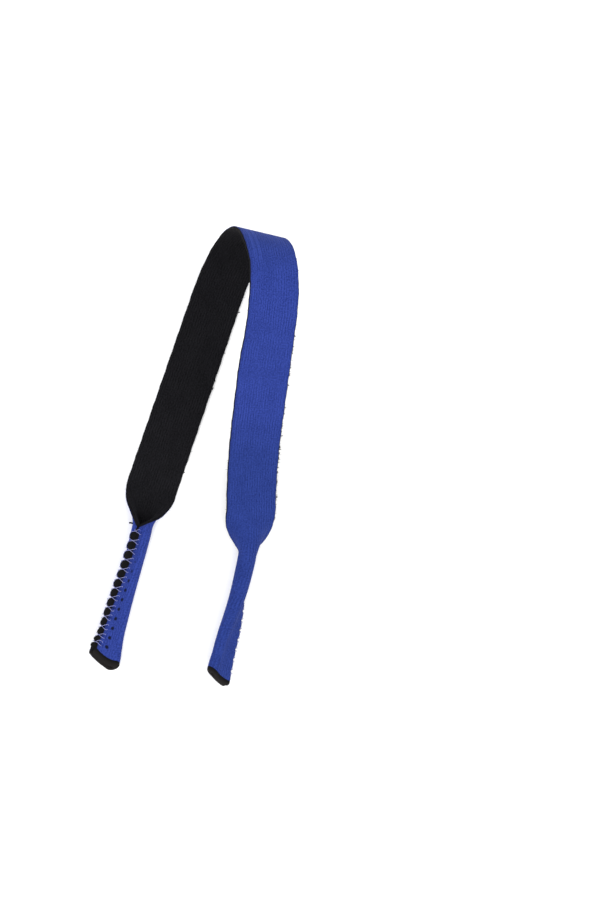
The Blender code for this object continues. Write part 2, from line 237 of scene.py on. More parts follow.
def crown_heading(part):
    """Direction of the strip at a share of the crown's length: it bends most in the middle."""
    return CROWN_TURN * (part - CROWN_EASE * np.sin(2 * pi * part) / (2 * pi))


def crown_curve():
    """The crown's side profile: bending eases in and out round the middle of the arc."""
    u = np.linspace(0, 1, CROWN_POINTS)
    heading = crown_heading((u[1:] + u[:-1]) / 2)
    step = CROWN_LENGTH / len(heading)
    forward = np.concatenate([[0.0], np.cumsum(np.cos(heading)) * step])
    height = np.concatenate([[0.0], np.cumsum(np.sin(heading)) * step])
    return u * CROWN_LENGTH, forward, height + HALF_LAMINATE


CROWN_ARC, CROWN_FORWARD, CROWN_HEIGHT = crown_curve()
LEVEL_DROP = LEVEL_OUT_RADIUS * (1 - cos(DESCENT))
DESCENT_LENGTH = (CROWN_HEIGHT[-1] - LEVEL_HEIGHT - LEVEL_DROP) / sin(DESCENT)
LEVEL_START = CROWN_LENGTH + DESCENT_LENGTH + LEVEL_OUT_RADIUS * DESCENT

S_LEFT = -LEFT_FLAT_LENGTH
S_APEX = CROWN_LENGTH / 2 / cos(HELIX)
S_ARC_END = CROWN_LENGTH / cos(HELIX)
S_RIGHT = (LEVEL_START + LEVEL_LENGTH) / cos(HELIX)


def profile(q):
    """Forward distance, height and heading of the bent strip at an array q along the bend."""
    on_arc = np.clip(q, 0, CROWN_LENGTH)
    run = np.clip(q - CROWN_LENGTH, 0, DESCENT_LENGTH)
    angle = np.clip((q - CROWN_LENGTH - DESCENT_LENGTH) / LEVEL_OUT_RADIUS, 0, DESCENT)
    forward = np.interp(on_arc, CROWN_ARC, CROWN_FORWARD) + np.minimum(q, 0)
    forward = forward - run * cos(DESCENT) - LEVEL_OUT_RADIUS * (sin(DESCENT) - np.sin(DESCENT - angle))
    forward = forward - np.maximum(q - LEVEL_START, 0)
    height = np.interp(on_arc, CROWN_ARC, CROWN_HEIGHT) - run * sin(DESCENT)
    height = height - LEVEL_OUT_RADIUS * (np.cos(DESCENT - angle) - cos(DESCENT))
    return forward, height, crown_heading(on_arc / CROWN_LENGTH) - angle


def band_row(s, v, n):
    """Points of the flat or bent strip at one s, for arrays v and n."""
    forward, height, heading = profile(s * cos(HELIX) - v * sin(HELIX))
    ahead = forward + n * np.sin(heading)
    across = s * sin(HELIX) + v * cos(HELIX)
    rise = height - n * np.cos(heading)
    return ahead[:, None] * FORWARD + across[:, None] * RULING + rise[:, None] * UP


def funnel_centres(side):
    """The funnel's middle line: its heading turns smoothly from the flat strip's to the sleeve's."""
    end = S_LEFT if side == "left" else S_RIGHT
    start, beside = band_row(end, np.array([0.0, SIDE_STEP]), np.zeros(2))
    across = beside - start
    yaw = atan2(across[1], across[0])
    line = [start]
    for i in range(FUNNEL_STEPS):
        angle = yaw * (1 - smooth((i + 0.5) / FUNNEL_STEPS))
        direction = np.array([-sin(angle), cos(angle), 0.0])
        line.append(line[-1] - direction * FUNNEL_LENGTH / FUNNEL_STEPS)
    return yaw, line


FUNNELS = {side: funnel_centres(side) for side in ("left", "right")}


# ---- the whole strip as one surface

SLEEVE_END = {side: FUNNEL_LENGTH + length for side, length in SLEEVE_LENGTH.items()}
T_LEFT_BAND = SLEEVE_END["left"]
T_RIGHT_BAND = T_LEFT_BAND + S_RIGHT - S_LEFT
T_END = T_RIGHT_BAND + SLEEVE_END["right"]
T_CROWN_START = T_LEFT_BAND - S_LEFT
STITCH_START = FUNNEL_LENGTH + FIRST_STITCH


def tube_share(side, distance):
    """0 where the sleeve begins and 1 at its mouth."""
    return (distance - FUNNEL_LENGTH) / SLEEVE_LENGTH[side]


def scallop(side, distance):
    """0 at a stitch, where the thread squeezes the seam, and up to 1 between stitches."""
    phase = (distance - STITCH_START) / STITCH_PITCH
    nearest = np.clip(np.round(phase), 0, STITCHES[side] - 1)
    gap = np.clip(np.where(phase < 0, 0.0, np.abs(phase - nearest)), 0.0, 0.5)
    return np.sqrt(1 - (1 - 2 * gap) ** 2)


def fin_shape(side, distance, x, height, v):
    """Squeezes the seam fin at each stitch and lets it swell in between."""
    swell = scallop(side, distance)
    share = smooth((np.abs(v) - PINCH_START) / PINCH_REACH)
    share = share * smooth((distance - FUNNEL_LENGTH) / PINCH_RUN)
    x = x * mix(1.0, mix(WAIST[side], BULGE, swell), share)
    return x, height - CREST_DROP[side] * (1 - swell) * share


def mouth_share(side, distance):
    """0 along the sleeve, rising to 1 at its mouth."""
    return smooth(1 - (SLEEVE_END[side] - distance) / CUT_REACH)


def loosened(side, distance, x):
    """Sideways places on the real sleeve, which lies less tightly and less straight than the CAD one."""
    u = tube_share(side, distance)
    early, late = SLEEVE_DRIFT[side]
    begun = smooth((distance - LOOSE_FROM) / FUNNEL_LENGTH)
    wider = 1 + SLEEVE_LOOSE[side] * begun + MOUTH_FLARE[side] * mouth_share(side, distance)
    return x * wider + mix(early, late, smooth(u / DRIFT_RUN)) * begun


def tube_place(side, distance, x, height):
    """Points of a sleeve from cross-section coordinates at one distance along it."""
    u = tube_share(side, distance)
    x, rise = turned(side, u, x, height)
    level = rest_height(side, u) + INWARD[side] * rise
    overall, sideways, upwards = MOUTH_CUT[side]
    aside = x / CUT_HALF_SPAN
    cut = overall + sideways * aside + upwards * level / CUT_HEIGHT + MOUTH_BOW[side] * aside**2
    line = FUNNELS[side][1][-1]
    out = np.empty((len(x), 3))
    out[:, 0] = line[0] + loosened(side, distance, x)
    out[:, 1] = line[1] - (distance - FUNNEL_LENGTH) + cut * mouth_share(side, distance)
    out[:, 2] = level
    return out


def rolled_row(side, distance, v, n):
    """Points of a funnel or sleeve at one distance from where the flat strip ends."""
    if distance > FUNNEL_LENGTH:
        x, height = section(fully_rolled, tube_share(side, distance), v, n)
        return tube_place(side, distance, *fin_shape(side, distance, x, height, v))
    yaw, line = FUNNELS[side]
    u = distance / FUNNEL_LENGTH
    angle = yaw * (1 - smooth(u))
    across = np.array([cos(angle), sin(angle), 0.0])
    place = u * (len(line) - 1)
    low = min(int(place), len(line) - 2)
    centre = mix(line[low], line[low + 1], place - low)
    x, rise = turned(side, tube_share(side, distance), *section(funnel_roll(side, distance), 0.0, v, n))
    x = loosened(side, distance, x)
    return centre + x[:, None] * across + INWARD[side] * (rise[:, None] + NECK_CENTRE) * UP


def drawn_in(s, v):
    """Places v where the loop turns back down: its edge A is drawn in a little by the bend."""
    after = s - S_ARC_END
    rise = smooth((after - DRAWN_IN_FROM[0]) / (DRAWN_IN_FROM[1] - DRAWN_IN_FROM[0]))
    fall = smooth((after - DRAWN_IN_TO[0]) / (DRAWN_IN_TO[1] - DRAWN_IN_TO[0]))
    return np.where(v < 0, v * (1 - DRAWN_IN * rise * (1 - fall)), v)


def strip_row_unshifted(t, v, n):
    """Points of the strip at one t, for arrays v and n, in the strip's own coordinates."""
    s = S_LEFT + t - T_LEFT_BAND
    for side, distance in (("left", T_LEFT_BAND - t), ("right", t - T_RIGHT_BAND)):
        if distance > 0:
            return rolled_row(side, distance, v, n)
        if distance > -CURL_AHEAD:
            curled, height = section(funnel_roll(side, distance), 0.0, v, n)
            return band_row(s, curled, -height)
    return band_row(s, drawn_in(s, v), n)


def frame_shift():
    """From the strip's own coordinates to the frame's: a mouth and a corner of the flat band match."""
    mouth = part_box("left_sleeve_foam_core")[0].y
    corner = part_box("left_band_foam_core")[0].x
    edge = np.array([-HALF_WIDTH])
    own_mouth = FUNNELS["left"][1][-1][1] - SLEEVE_LENGTH["left"]
    own_corner = band_row(S_LEFT + FLEX_GAP / 2, edge, np.zeros(1))[0][0]
    return np.array([corner - own_corner, mouth - own_mouth, 0.0])


SHIFT = frame_shift()


def strip_row(t, v, n):
    """Points of the strip at one t, for v and n, in the frame's coordinates."""
    v = np.atleast_1d(np.asarray(v, float))
    return strip_row_unshifted(t, v, np.broadcast_to(np.asarray(n, float), v.shape)) + SHIFT


def strip_point(t, v, n):
    return strip_row(t, v, n)[0]


# ---- mesh building

SHARP_ANGLE = radians(60)


def link(obj):
    bpy.context.scene.collection.objects.link(obj)


def new_object(name, vertices, faces, uv, material):
    """A smooth closed mesh with its (t, v) place as UV map."""
    mesh = bpy.data.meshes.new(name)
    mesh.from_pydata(vertices.tolist(), [], faces)
    bm = bmesh.new()
    bm.from_mesh(mesh)
    bmesh.ops.recalc_face_normals(bm, faces=bm.faces)
    bm.to_mesh(mesh)
    bm.free()
    layer = mesh.uv_layers.new(name="strip")
    corners = np.empty(len(mesh.loops), int)
    mesh.loops.foreach_get("vertex_index", corners)
    layer.data.foreach_set("uv", uv[corners].astype(np.float32).ravel())
    mesh.shade_smooth()
    mesh.set_sharp_from_angle(angle=SHARP_ANGLE)
    mesh.materials.append(material)
    obj = bpy.data.objects.new(name, mesh)
    link(obj)
    return obj


def closed_faces(rows, cols):
    """Faces of two grids of vertices, one over the other, with the rim between them closed."""
    upper = np.arange(rows * cols).reshape(rows, cols)
    lower = upper + rows * cols
    faces = []
    for grid in (upper, lower[:, ::-1]):
        quads = np.stack([grid[:-1, :-1], grid[1:, :-1], grid[1:, 1:], grid[:-1, 1:]], axis=-1)
        faces.append(quads.reshape(-1, 4))
    rim = np.concatenate([upper[:, 0], upper[-1, 1:], upper[-2::-1, -1], upper[0, -2:0:-1]])
    after = np.roll(rim, -1)
    faces.append(np.stack([rim, after, after + rows * cols, rim + rows * cols], axis=-1))
    return np.concatenate(faces).tolist()


def columns(half, rim, count):
    """Values of v: even in the middle, crowded towards the rounded edges."""
    flat = np.linspace(rim - half, half - rim, count)
    curl = half - rim + rim * np.sin(np.linspace(0, pi / 2, RIM_COLUMNS + 1))[1:]
    return np.concatenate([-curl[::-1], flat, curl])


def rim_fall(v, half, rim):
    """1 in the middle of the strip, falling like a quarter circle to the edge."""
    into = np.clip((np.abs(v) - (half - rim)) / rim, 0, 1)
    return np.maximum(np.sqrt(1 - into**2), RIM_LEAST)


def edge_wave(t, v):
    """The scissor-cut edge wanders a little, differently on each side."""
    shift = np.where(v < 0, *WAVE_SHIFTS)
    wave = np.sin(t * LONG_WAVE + shift) + SHORT_WAVE_SHARE * np.sin(t * SHORT_WAVE + 2 * shift)
    return v * (1 + EDGE_WAVE / HALF_WIDTH * wave * (np.abs(v) / HALF_WIDTH) ** WAVE_FADE)


def mouth_gap(t):
    """Distance to the nearer mouth."""
    return min(t, T_END - t)


def mouth_round(gap):
    """How much of its thickness a layer keeps near a rounded end."""
    into = np.clip(1 - gap / MOUTH_ROUND, 0, 1)
    return max(np.sqrt(1 - into**2), MOUTH_LEAST)


def foam_offsets(t, v):
    """The foam's two faces. At a mouth it swells, and its inner face closes the folded slot."""
    swell = smooth((MOUTH_BARE + SWELL_FROM - mouth_gap(t)) / SWELL_RUN)
    fall = rim_fall(v, HALF_WIDTH + EDGE_BULGE, FOAM_RIM)
    outer = mix(HALF_FOAM, MOUTH_SWELL, swell) * fall * mouth_round(mouth_gap(t))
    return outer, -mix(HALF_FOAM, MOUTH_CLOSED, swell) * fall


def cloth_offsets(t, v, middle):
    """The two faces of a cloth whose middle lies at n = middle."""
    half = HALF_WIDTH - JERSEY_INSET
    into = 1 - rim_fall(v, half, CLOTH_RIM)
    thick = JERSEY / 2 * rim_fall(v, half, CLOTH_RIM) * mouth_round(mouth_gap(t) - MOUTH_BARE)
    centre = middle - np.sign(middle) * CLOTH_SINK * into
    return centre + thick, centre - thick


def jersey_offsets(t, v):
    return cloth_offsets(t, v, HALF_FOAM + JERSEY / 2)


def lining_offsets(t, v):
    return cloth_offsets(t, v, -HALF_FOAM - JERSEY / 2)


def layer_object(name, t_rows, v, offsets, material):
    """One zone of one layer, closed, between its two offset surfaces."""
    upper, lower = [], []
    for t in t_rows:
        high, low = offsets(t, v)
        waved = edge_wave(t, v)
        upper.append(strip_row(t, waved, high))
        lower.append(strip_row(t, waved, low))
    vertices = np.concatenate([np.concatenate(upper), np.concatenate(lower)])
    place = np.stack(np.meshgrid(t_rows, v, indexing="ij"), axis=-1).reshape(-1, 2)
    faces = closed_faces(len(t_rows), len(v))
    return new_object(name, vertices, faces, np.concatenate([place, place]), material)


def catmull(points, steps):
    """A smooth curve through the points."""
    points = np.asarray(points, float)
    padded = np.concatenate([[2 * points[0] - points[1]], points, [2 * points[-1] - points[-2]]])
    out = []
    for i in range(1, len(padded) - 2):
        a, b, c, d = padded[i - 1 : i + 3]
        for k in range(steps):
            f = k / steps
            out.append(0.5 * (2 * b + (c - a) * f + (2 * a - 5 * b + 4 * c - d) * f * f
                              + (3 * b - a - 3 * c + d) * f**3))
    out.append(points[-1])
    return np.array(out)


def tube_faces(base, rings, sides):
    """Faces of a closed tube whose rings of vertices start at number base."""
    faces = []
    for start in range(base, base + (rings - 1) * sides, sides):
        for k in range(sides):
            a, b = start + k, start + (k + 1) % sides
            faces.append((a, b, b + sides, a + sides))
    last = base + (rings - 1) * sides
    faces.append(tuple(range(base, base + sides)))
    faces.append(tuple(reversed(range(last, last + sides))))
    return faces


def tubes_object(name, paths, radii, sides, material):
    """Closed round tubes along several paths, as one piece. Each path has a radius at every point."""
    vertices, faces, uv = [], [], []
    for path, radius in zip(paths, radii):
        base = len(vertices)
        tangents = np.gradient(path, axis=0)
        tangents /= np.linalg.norm(tangents, axis=1)[:, None]
        guide = np.eye(3)[np.argmin(np.abs(tangents).sum(axis=0))]
        length = 0.0
        for i, (point, tangent) in enumerate(zip(path, tangents)):
            first = np.cross(tangent, guide)
            first /= np.linalg.norm(first)
            guide = np.cross(first, tangent)
            second = np.cross(tangent, first)
            length += np.linalg.norm(path[i] - path[i - 1]) if i else 0.0
            for k in range(sides):
                angle = 2 * pi * k / sides
                vertices.append(point + radius[i] * (cos(angle) * first + sin(angle) * second))
                uv.append((length, k / sides * 2 * pi * radius[i]))
        faces += tube_faces(base, len(path), sides)
    return new_object(name, np.array(vertices), faces, np.array(uv), material)


# ---- materials


class Nodes:
    """Short names for building a material's node tree."""

    def __init__(self, material):
        self.tree = material.node_tree
        self.shader = self.tree.nodes["Principled BSDF"]

    def add(self, kind, **settings):
        node = self.tree.nodes.new(kind)
        for key, value in settings.items():
            setattr(node, key, value)
        return node

    def put(self, socket, value):
        if isinstance(value, bpy.types.NodeSocket):
            self.tree.links.new(value, socket)
        else:
            socket.default_value = value

    def math(self, operation, *values):
        node = self.add("ShaderNodeMath", operation=operation)
        for socket, value in zip(node.inputs, values):
            self.put(socket, value)
        return node.outputs[0]

    def set(self, name, value):
        """One of the shader's own inputs."""
        self.put(self.shader.inputs[name], value)

    def wire(self, node, values):
        for name, value in values.items():
            self.put(node.inputs[name], value)

    def size(self, value):
        return self.math("ABSOLUTE", value)

    def scaled(self, value, factor, addend):
        return self.math("MULTIPLY_ADD", value, factor, addend)

    def minus(self, value, less):
        return self.math("SUBTRACT", value, less)

    def times(self, value, factor):
        return self.math("MULTIPLY", value, factor)

    def inverse(self, value):
        """1 less the value."""
        return self.minus(1.0, value)

    def blend(self, share, low, high, mode="MIX"):
        """A colour from low, at share 0, to high, at share 1."""
        node = self.add("ShaderNodeMix", data_type="RGBA", blend_type=mode)
        # The colour sockets share their names with others, so they go by number
        self.wire(node, {"Factor": share, 6: low, 7: high})
        return node.outputs[2]

    def ramp(self, value, low, high):
        """0 below low and 1 above high, smoothly."""
        node = self.add("ShaderNodeMapRange", interpolation_type="SMOOTHSTEP")
        self.wire(node, {"Value": value, "From Min": low, "From Max": high})
        return node.outputs["Result"]

    def strip_place(self):
        """Sockets t and v of the strip, in metres, and both as one vector."""
        uv = self.add("ShaderNodeUVMap", uv_map="strip")
        split = self.add("ShaderNodeSeparateXYZ")
        self.put(split.inputs[0], uv.outputs["UV"])
        return split.outputs["X"], split.outputs["Y"], uv.outputs["UV"]

    def noise(self, vector, scale, detail=3.0, roughness=0.6):
        node = self.add("ShaderNodeTexNoise")
        self.wire(node, {"Vector": vector, "Scale": scale, "Detail": detail, "Roughness": roughness})
        return node.outputs["Fac"]

    def bump(self, height, strength, distance):
        node = self.add("ShaderNodeBump")
        self.wire(node, {"Strength": strength, "Distance": distance, "Height": height})
        self.set("Normal", node.outputs["Normal"])


def new_material(name, roughness, specular):
    """A material with its constant values set, and its nodes."""
    material = bpy.data.materials.new(name)
    material.use_nodes = True
    nodes = Nodes(material)
    nodes.set("Roughness", roughness)
    nodes.set("Specular IOR Level", specular)
    return material, nodes


# Knit: the width of a column of stitches, the height of a row, and the shape of a stitch
WALE, COURSE = 0.00106, 0.00085
KNIT_SLANT = 1.15
GROOVE_WIDTH, GROOVE_DEPTH, ROW_DEPTH = 0.12, 0.15, 0.35
KNIT_STRAY, STRAY_SCALE = 0.0011, 330.0

# How far stitches, fine fuzz and broad wear shade the colour, and the scale of each one's noise
KNIT_SHADE, FINE_SHADE, BROAD_SHADE = 0.55, 1.7, 0.35
CLEAR_SCALE, FINE_SCALE, BROAD_SCALE = 110.0, 1700.0, 160.0
CLEAR_FROM, CLEAR_TO = 0.35, 0.65
SMOOTH_DETAIL = 2.0
LIGHTEST_TONE = 0.95
SHEEN_ROUGHNESS = 0.5
FUZZ_HEIGHT = 0.35
KNIT_BUMP, KNIT_DEPTH = 0.7, 0.00018


def knit_height(nodes, t, v, uv):
    """Height of a knitted face: columns of V stitches, each leg a rounded yarn, none quite regular."""
    stray = nodes.minus(nodes.noise(uv, STRAY_SCALE, detail=SMOOTH_DETAIL), 0.5)
    t = nodes.scaled(stray, KNIT_STRAY, t)
    v = nodes.scaled(stray, KNIT_STRAY, v)
    column = nodes.math("FRACT", nodes.math("DIVIDE", v, WALE))
    from_middle = nodes.size(nodes.minus(column, 0.5))
    valley = nodes.math("POWER", nodes.times(from_middle, 2.0), 2.0)
    groove = nodes.inverse(nodes.ramp(from_middle, 0.0, GROOVE_WIDTH))
    across = nodes.minus(nodes.inverse(valley), nodes.times(groove, GROOVE_DEPTH))
    slanted = nodes.scaled(from_middle, KNIT_SLANT, nodes.math("DIVIDE", t, COURSE))
    ridge = nodes.size(nodes.minus(nodes.math("FRACT", slanted), 0.5))
    along = nodes.inverse(nodes.times(ridge, ROW_DEPTH))
    return nodes.times(across, along)


def cloth_material(name, dark, light, roughness, sheen, sheen_tint, specular):
    """A knitted cloth. Its colour socket is returned, to be linked when it is complete."""
    material, nodes = new_material(name, roughness, specular)
    t, v, uv = nodes.strip_place()
    height = knit_height(nodes, t, v, uv)
    broad = nodes.noise(uv, BROAD_SCALE)
    fine = nodes.noise(uv, FINE_SCALE, detail=SMOOTH_DETAIL)
    clear = nodes.ramp(nodes.noise(uv, CLEAR_SCALE), CLEAR_FROM, CLEAR_TO)
    clear = nodes.times(clear, KNIT_SHADE)
    tone = nodes.scaled(nodes.minus(height, 0.5), clear, 0.5)
    tone = nodes.scaled(nodes.minus(broad, 0.5), BROAD_SHADE, tone)
    tone = nodes.scaled(nodes.minus(fine, 0.5), FINE_SHADE, tone)
    colour = nodes.blend(nodes.ramp(tone, 0.0, LIGHTEST_TONE), dark, light)
    nodes.set("Sheen Weight", sheen)
    nodes.set("Sheen Roughness", SHEEN_ROUGHNESS)
    nodes.set("Sheen Tint", sheen_tint)
    fuzzy = nodes.scaled(fine, FUZZ_HEIGHT, height)
    nodes.bump(fuzzy, KNIT_BUMP, KNIT_DEPTH)
    return material, nodes, colour


BLUE_DARK, BLUE_LIGHT = (0.008, 0.018, 0.118, 1), (0.027, 0.049, 0.262, 1)
# Painted shade: the blue is multiplied by this where less light falls
PAINTED_SHADE_TINT = (0.78, 0.86, 0.82, 1)
BLUE_SHEEN = (0.30, 0.38, 0.95, 1)

# Painted light and shade: the middle of the upper leg, which slopes towards the light, and the left sleeve
# keep the full blue; the rest of the strip is painted darker as shade
T_BRIGHT = T_CROWN_START + S_ARC_END - 0.010
BRIGHT_RISE, BRIGHT_FALL = 0.03, (0.045, 0.075)

# Two faint stretch marks over the crown, at these distances from edge A
STREAKS = (0.0030, 0.0052)
STREAK_WIDTH, STREAK_CORE, STREAK_SHARE = 0.0009, 0.2, 0.22
STREAK_START, STREAK_END = T_CROWN_START + S_APEX * 0.75, T_CROWN_START + S_ARC_END * 0.80
STREAK_FADE = 0.012
STREAK_BLUE = (0.055, 0.09, 0.42, 1)

# Painted shade: the blue is painted darker towards the cut edges, where the cloth rounds over
EDGE_FROM, EDGE_TO = HALF_WIDTH - 0.0008, HALF_WIDTH - 0.0002
EDGE_SHADE_SHARE = 0.6
EDGE_SHADE_BLUE = (0.010, 0.016, 0.08, 1)

# Needle holes, which close up towards the neck
HOLE_RADIUS = 0.00095
HOLES_FROM, HOLES_TO = 0.0021, 0.0019
HOLES_CLOSED, HOLES_OPENING = 0.008, 0.018
HOLE_BLUE = (0.003, 0.005, 0.020, 1)
RIGHT_HOLE_DEPTH = 0.25


def streak(nodes, t, v, centre):
    """A faint lengthwise stretch mark near edge A over the crown."""
    off = nodes.size(nodes.minus(v, centre))
    near = nodes.inverse(nodes.ramp(off, STREAK_WIDTH * STREAK_CORE, STREAK_WIDTH))
    rise = nodes.ramp(t, STREAK_START - STREAK_FADE, STREAK_START)
    fall = nodes.inverse(nodes.ramp(t, STREAK_END - STREAK_FADE, STREAK_END))
    return nodes.times(near, nodes.times(rise, fall))


def painted_lit_share(nodes, t):
    """1 on the middle of the upper leg and on the left sleeve, 0 where shade is painted on the blue."""
    rise = nodes.ramp(t, T_BRIGHT - BRIGHT_RISE, T_BRIGHT)
    fall = nodes.inverse(nodes.ramp(t, T_BRIGHT + BRIGHT_FALL[0], T_BRIGHT + BRIGHT_FALL[1]))
    bright = nodes.times(rise, fall)
    return nodes.math("MAXIMUM", bright, nodes.math("LESS_THAN", t, T_LEFT_BAND))


def needle_holes(nodes, t, v, first_hole, holes, depth):
    """How much a row of needle holes darkens the cloth."""
    phase = nodes.math("DIVIDE", nodes.minus(t, first_hole), STITCH_PITCH)
    along = nodes.minus(nodes.math("FRACT", nodes.math("ADD", phase, 0.5)), 0.5)
    along = nodes.times(along, STITCH_PITCH)
    across = nodes.minus(nodes.size(v), NEEDLE_LINE)
    square = nodes.math("ADD", nodes.math("POWER", along, 2.0), nodes.math("POWER", across, 2.0))
    hole = nodes.inverse(nodes.ramp(nodes.math("SQRT", square), HOLE_RADIUS / 2, HOLE_RADIUS))
    begun = nodes.ramp(t, first_hole - HOLES_FROM, first_hole - HOLES_TO)
    stitched = nodes.math("LESS_THAN", t, first_hole + STITCH_PITCH * (holes - 0.5))
    far = nodes.size(nodes.minus(t, T_BRIGHT))
    near_neck = T_BRIGHT - T_LEFT_BAND + FUNNEL_LENGTH + HOLES_CLOSED
    wide_open = nodes.ramp(far, near_neck, near_neck + HOLES_OPENING)
    stitched = nodes.times(nodes.times(begun, stitched), wide_open)
    return nodes.times(nodes.times(hole, depth), stitched)


def blue_jersey(name, first_hole=None, holes=0, hole_depth=1.0):
    """The outer face. first_hole is the place t of the first of a sleeve's needle holes."""
    material, nodes, colour = cloth_material(
        name, BLUE_DARK, BLUE_LIGHT, roughness=0.85, sheen=0.06, sheen_tint=BLUE_SHEEN, specular=0.08)
    t, v, _ = nodes.strip_place()
    for distance in STREAKS:
        mark = nodes.times(streak(nodes, t, v, distance - HALF_WIDTH), STREAK_SHARE)
        colour = nodes.blend(mark, colour, STREAK_BLUE)
    # Painted shade: the blue is multiplied darker away from the lit middle of the upper leg and the left
    # sleeve
    colour = nodes.blend(nodes.inverse(painted_lit_share(nodes, t)), colour, PAINTED_SHADE_TINT, "MULTIPLY")
    # Painted shade towards the cut edges
    edge = nodes.ramp(nodes.size(v), EDGE_FROM, EDGE_TO)
    colour = nodes.blend(nodes.times(edge, EDGE_SHADE_SHARE), colour, EDGE_SHADE_BLUE)
    if first_hole is not None:
        hole = needle_holes(nodes, t, v, first_hole, holes, hole_depth)
        colour = nodes.blend(hole, colour, HOLE_BLUE)
    nodes.set("Base Color", colour)
    return material


LINING_DARK, LINING_LIGHT = (0.0012, 0.0012, 0.0016, 1), (0.0092, 0.0090, 0.0108, 1)
LINING_SHEEN = (0.6, 0.6, 0.7, 1)
LINT_SCALE, LINT_FROM, LINT_TO = 5200.0, 0.70, 0.78
LINT_SHARE, LINT_GREY = 0.5, (0.05, 0.05, 0.055, 1)


def black_lining():
    """The inner face, with specks of lint."""
    material, nodes, colour = cloth_material(
        "black_jersey", LINING_DARK, LINING_LIGHT,
        roughness=0.9, sheen=0.02, sheen_tint=LINING_SHEEN, specular=0.05)
    lint = nodes.noise(nodes.strip_place()[2], LINT_SCALE, detail=1.0)
    lint = nodes.times(nodes.ramp(lint, LINT_FROM, LINT_TO), LINT_SHARE)
    nodes.set("Base Color", nodes.blend(lint, colour, LINT_GREY))
    return material


FOAM_DARK, FOAM_LIGHT = (0.0018, 0.0018, 0.0024, 1), (0.0058, 0.0055, 0.0062, 1)
FOAM_END, FOAM_END_SHARE = (0.0095, 0.0078, 0.0072, 1), 0.75
FOAM_END_FROM, FOAM_END_TO = 0.0002, 0.0009
CELL_SCALE, GRAIN_SCALE = 3800.0, 900.0
GRAIN_HEIGHT, FOAM_BUMP, FOAM_DEPTH = 0.8, 0.45, 0.0001


def black_foam():
    """Closed-cell foam: fine cells, and a brownish-grey tint where its ends are cut."""
    material, nodes = new_material("black_foam", roughness=0.75, specular=0.06)
    t = nodes.strip_place()[0]
    place = nodes.add("ShaderNodeNewGeometry").outputs["Position"]
    cells = nodes.add("ShaderNodeTexVoronoi")
    nodes.wire(cells, {"Vector": place, "Scale": CELL_SCALE})
    grain = nodes.noise(place, GRAIN_SCALE)
    colour = nodes.blend(grain, FOAM_DARK, FOAM_LIGHT)
    gap = nodes.math("MINIMUM", t, nodes.minus(T_END, t))
    end = nodes.inverse(nodes.ramp(gap, FOAM_END_FROM, FOAM_END_TO))
    colour = nodes.blend(nodes.times(end, FOAM_END_SHARE), colour, FOAM_END)
    nodes.set("Base Color", colour)
    height = nodes.scaled(grain, GRAIN_HEIGHT, cells.outputs["Distance"])
    nodes.bump(height, FOAM_BUMP, FOAM_DEPTH)
    return material


THREAD_DARK, THREAD_LIGHT = (0.12, 0.135, 0.35, 1), (0.28, 0.285, 0.53, 1)
TWIST_ALONG, TWIST_AROUND = 9000.0, 7700.0
THREAD_BUMP, THREAD_DEPTH = 0.4, 0.00004


def nylon_thread():
    """Twisted, slightly glossy nylon."""
    material, nodes = new_material("nylon_thread", roughness=0.35, specular=0.4)
    t, v, _ = nodes.strip_place()
    around = nodes.times(v, TWIST_AROUND)
    twist = nodes.math("SINE", nodes.scaled(t, TWIST_ALONG, around))
    share = nodes.scaled(twist, 0.5, 0.5)
    nodes.set("Base Color", nodes.blend(share, THREAD_DARK, THREAD_LIGHT))
    nodes.bump(share, THREAD_BUMP, THREAD_DEPTH)
    return material


T_LEFT_FIRST_HOLE = T_LEFT_BAND - STITCH_START - (STITCHES["left"] - 1) * STITCH_PITCH
T_RIGHT_FIRST_HOLE = T_RIGHT_BAND + STITCH_START

MATERIALS = {
    "jersey": {
        "band": blue_jersey("blue_jersey"),
        "left_sleeve": blue_jersey("blue_jersey_left_sleeve", T_LEFT_FIRST_HOLE, STITCHES["left"]),
        "right_sleeve": blue_jersey(
            "blue_jersey_right_sleeve", T_RIGHT_FIRST_HOLE, STITCHES["right"], RIGHT_HOLE_DEPTH),
    },
    "foam": black_foam(),
    "lining": black_lining(),
    "thread": nylon_thread(),
}

# ---- zones

# How far the legs' zones reach into the funnels
LEG_REACH = 0.010
# The crown zone takes in the whole bend, which crosses the strip at the helix angle
ARC_MARGIN = HALF_WIDTH * tan(HELIX) + 0.001
T_ARC_START = T_CROWN_START - ARC_MARGIN
T_ARC_END = T_CROWN_START + S_ARC_END + ARC_MARGIN
T_APEX = T_CROWN_START + S_APEX

# How far each joint's bend reaches
TWIST_LENGTH = 0.018
NECK_BEND_BEFORE, NECK_BEND_AFTER = 0.007, 0.010
CROWN_BEND_REACH = 0.0185
CROWN_STEP = 0.0005


def sleeve_twist(side):
    """Where the twist joint's bend starts and ends, along the sleeve."""
    tube = FUNNELS[side][1][-1] + SHIFT
    return tube, tube - np.array([0.0, TWIST_LENGTH, 0.0])


def neck_flex(side):
    """Where the neck joint's bend starts in the funnel and ends in the flat band."""
    border = T_LEFT_BAND if side == "left" else T_RIGHT_BAND
    start = strip_point(border - INWARD[side] * NECK_BEND_BEFORE, 0.0, 0.0)
    return start, strip_point(border + INWARD[side] * NECK_BEND_AFTER, 0.0, 0.0)


def crown_flex():
    """The crown bends evenly on both sides of its hinge, along the strip's own tangent there."""
    hinge = strip_point(T_APEX, 0.0, HALF_LAMINATE)
    along = strip_point(T_APEX + CROWN_STEP, 0.0, HALF_LAMINATE) - hinge
    along -= RULING * (along @ RULING)
    along *= CROWN_BEND_REACH / np.linalg.norm(along)
    return hinge - along, hinge + along


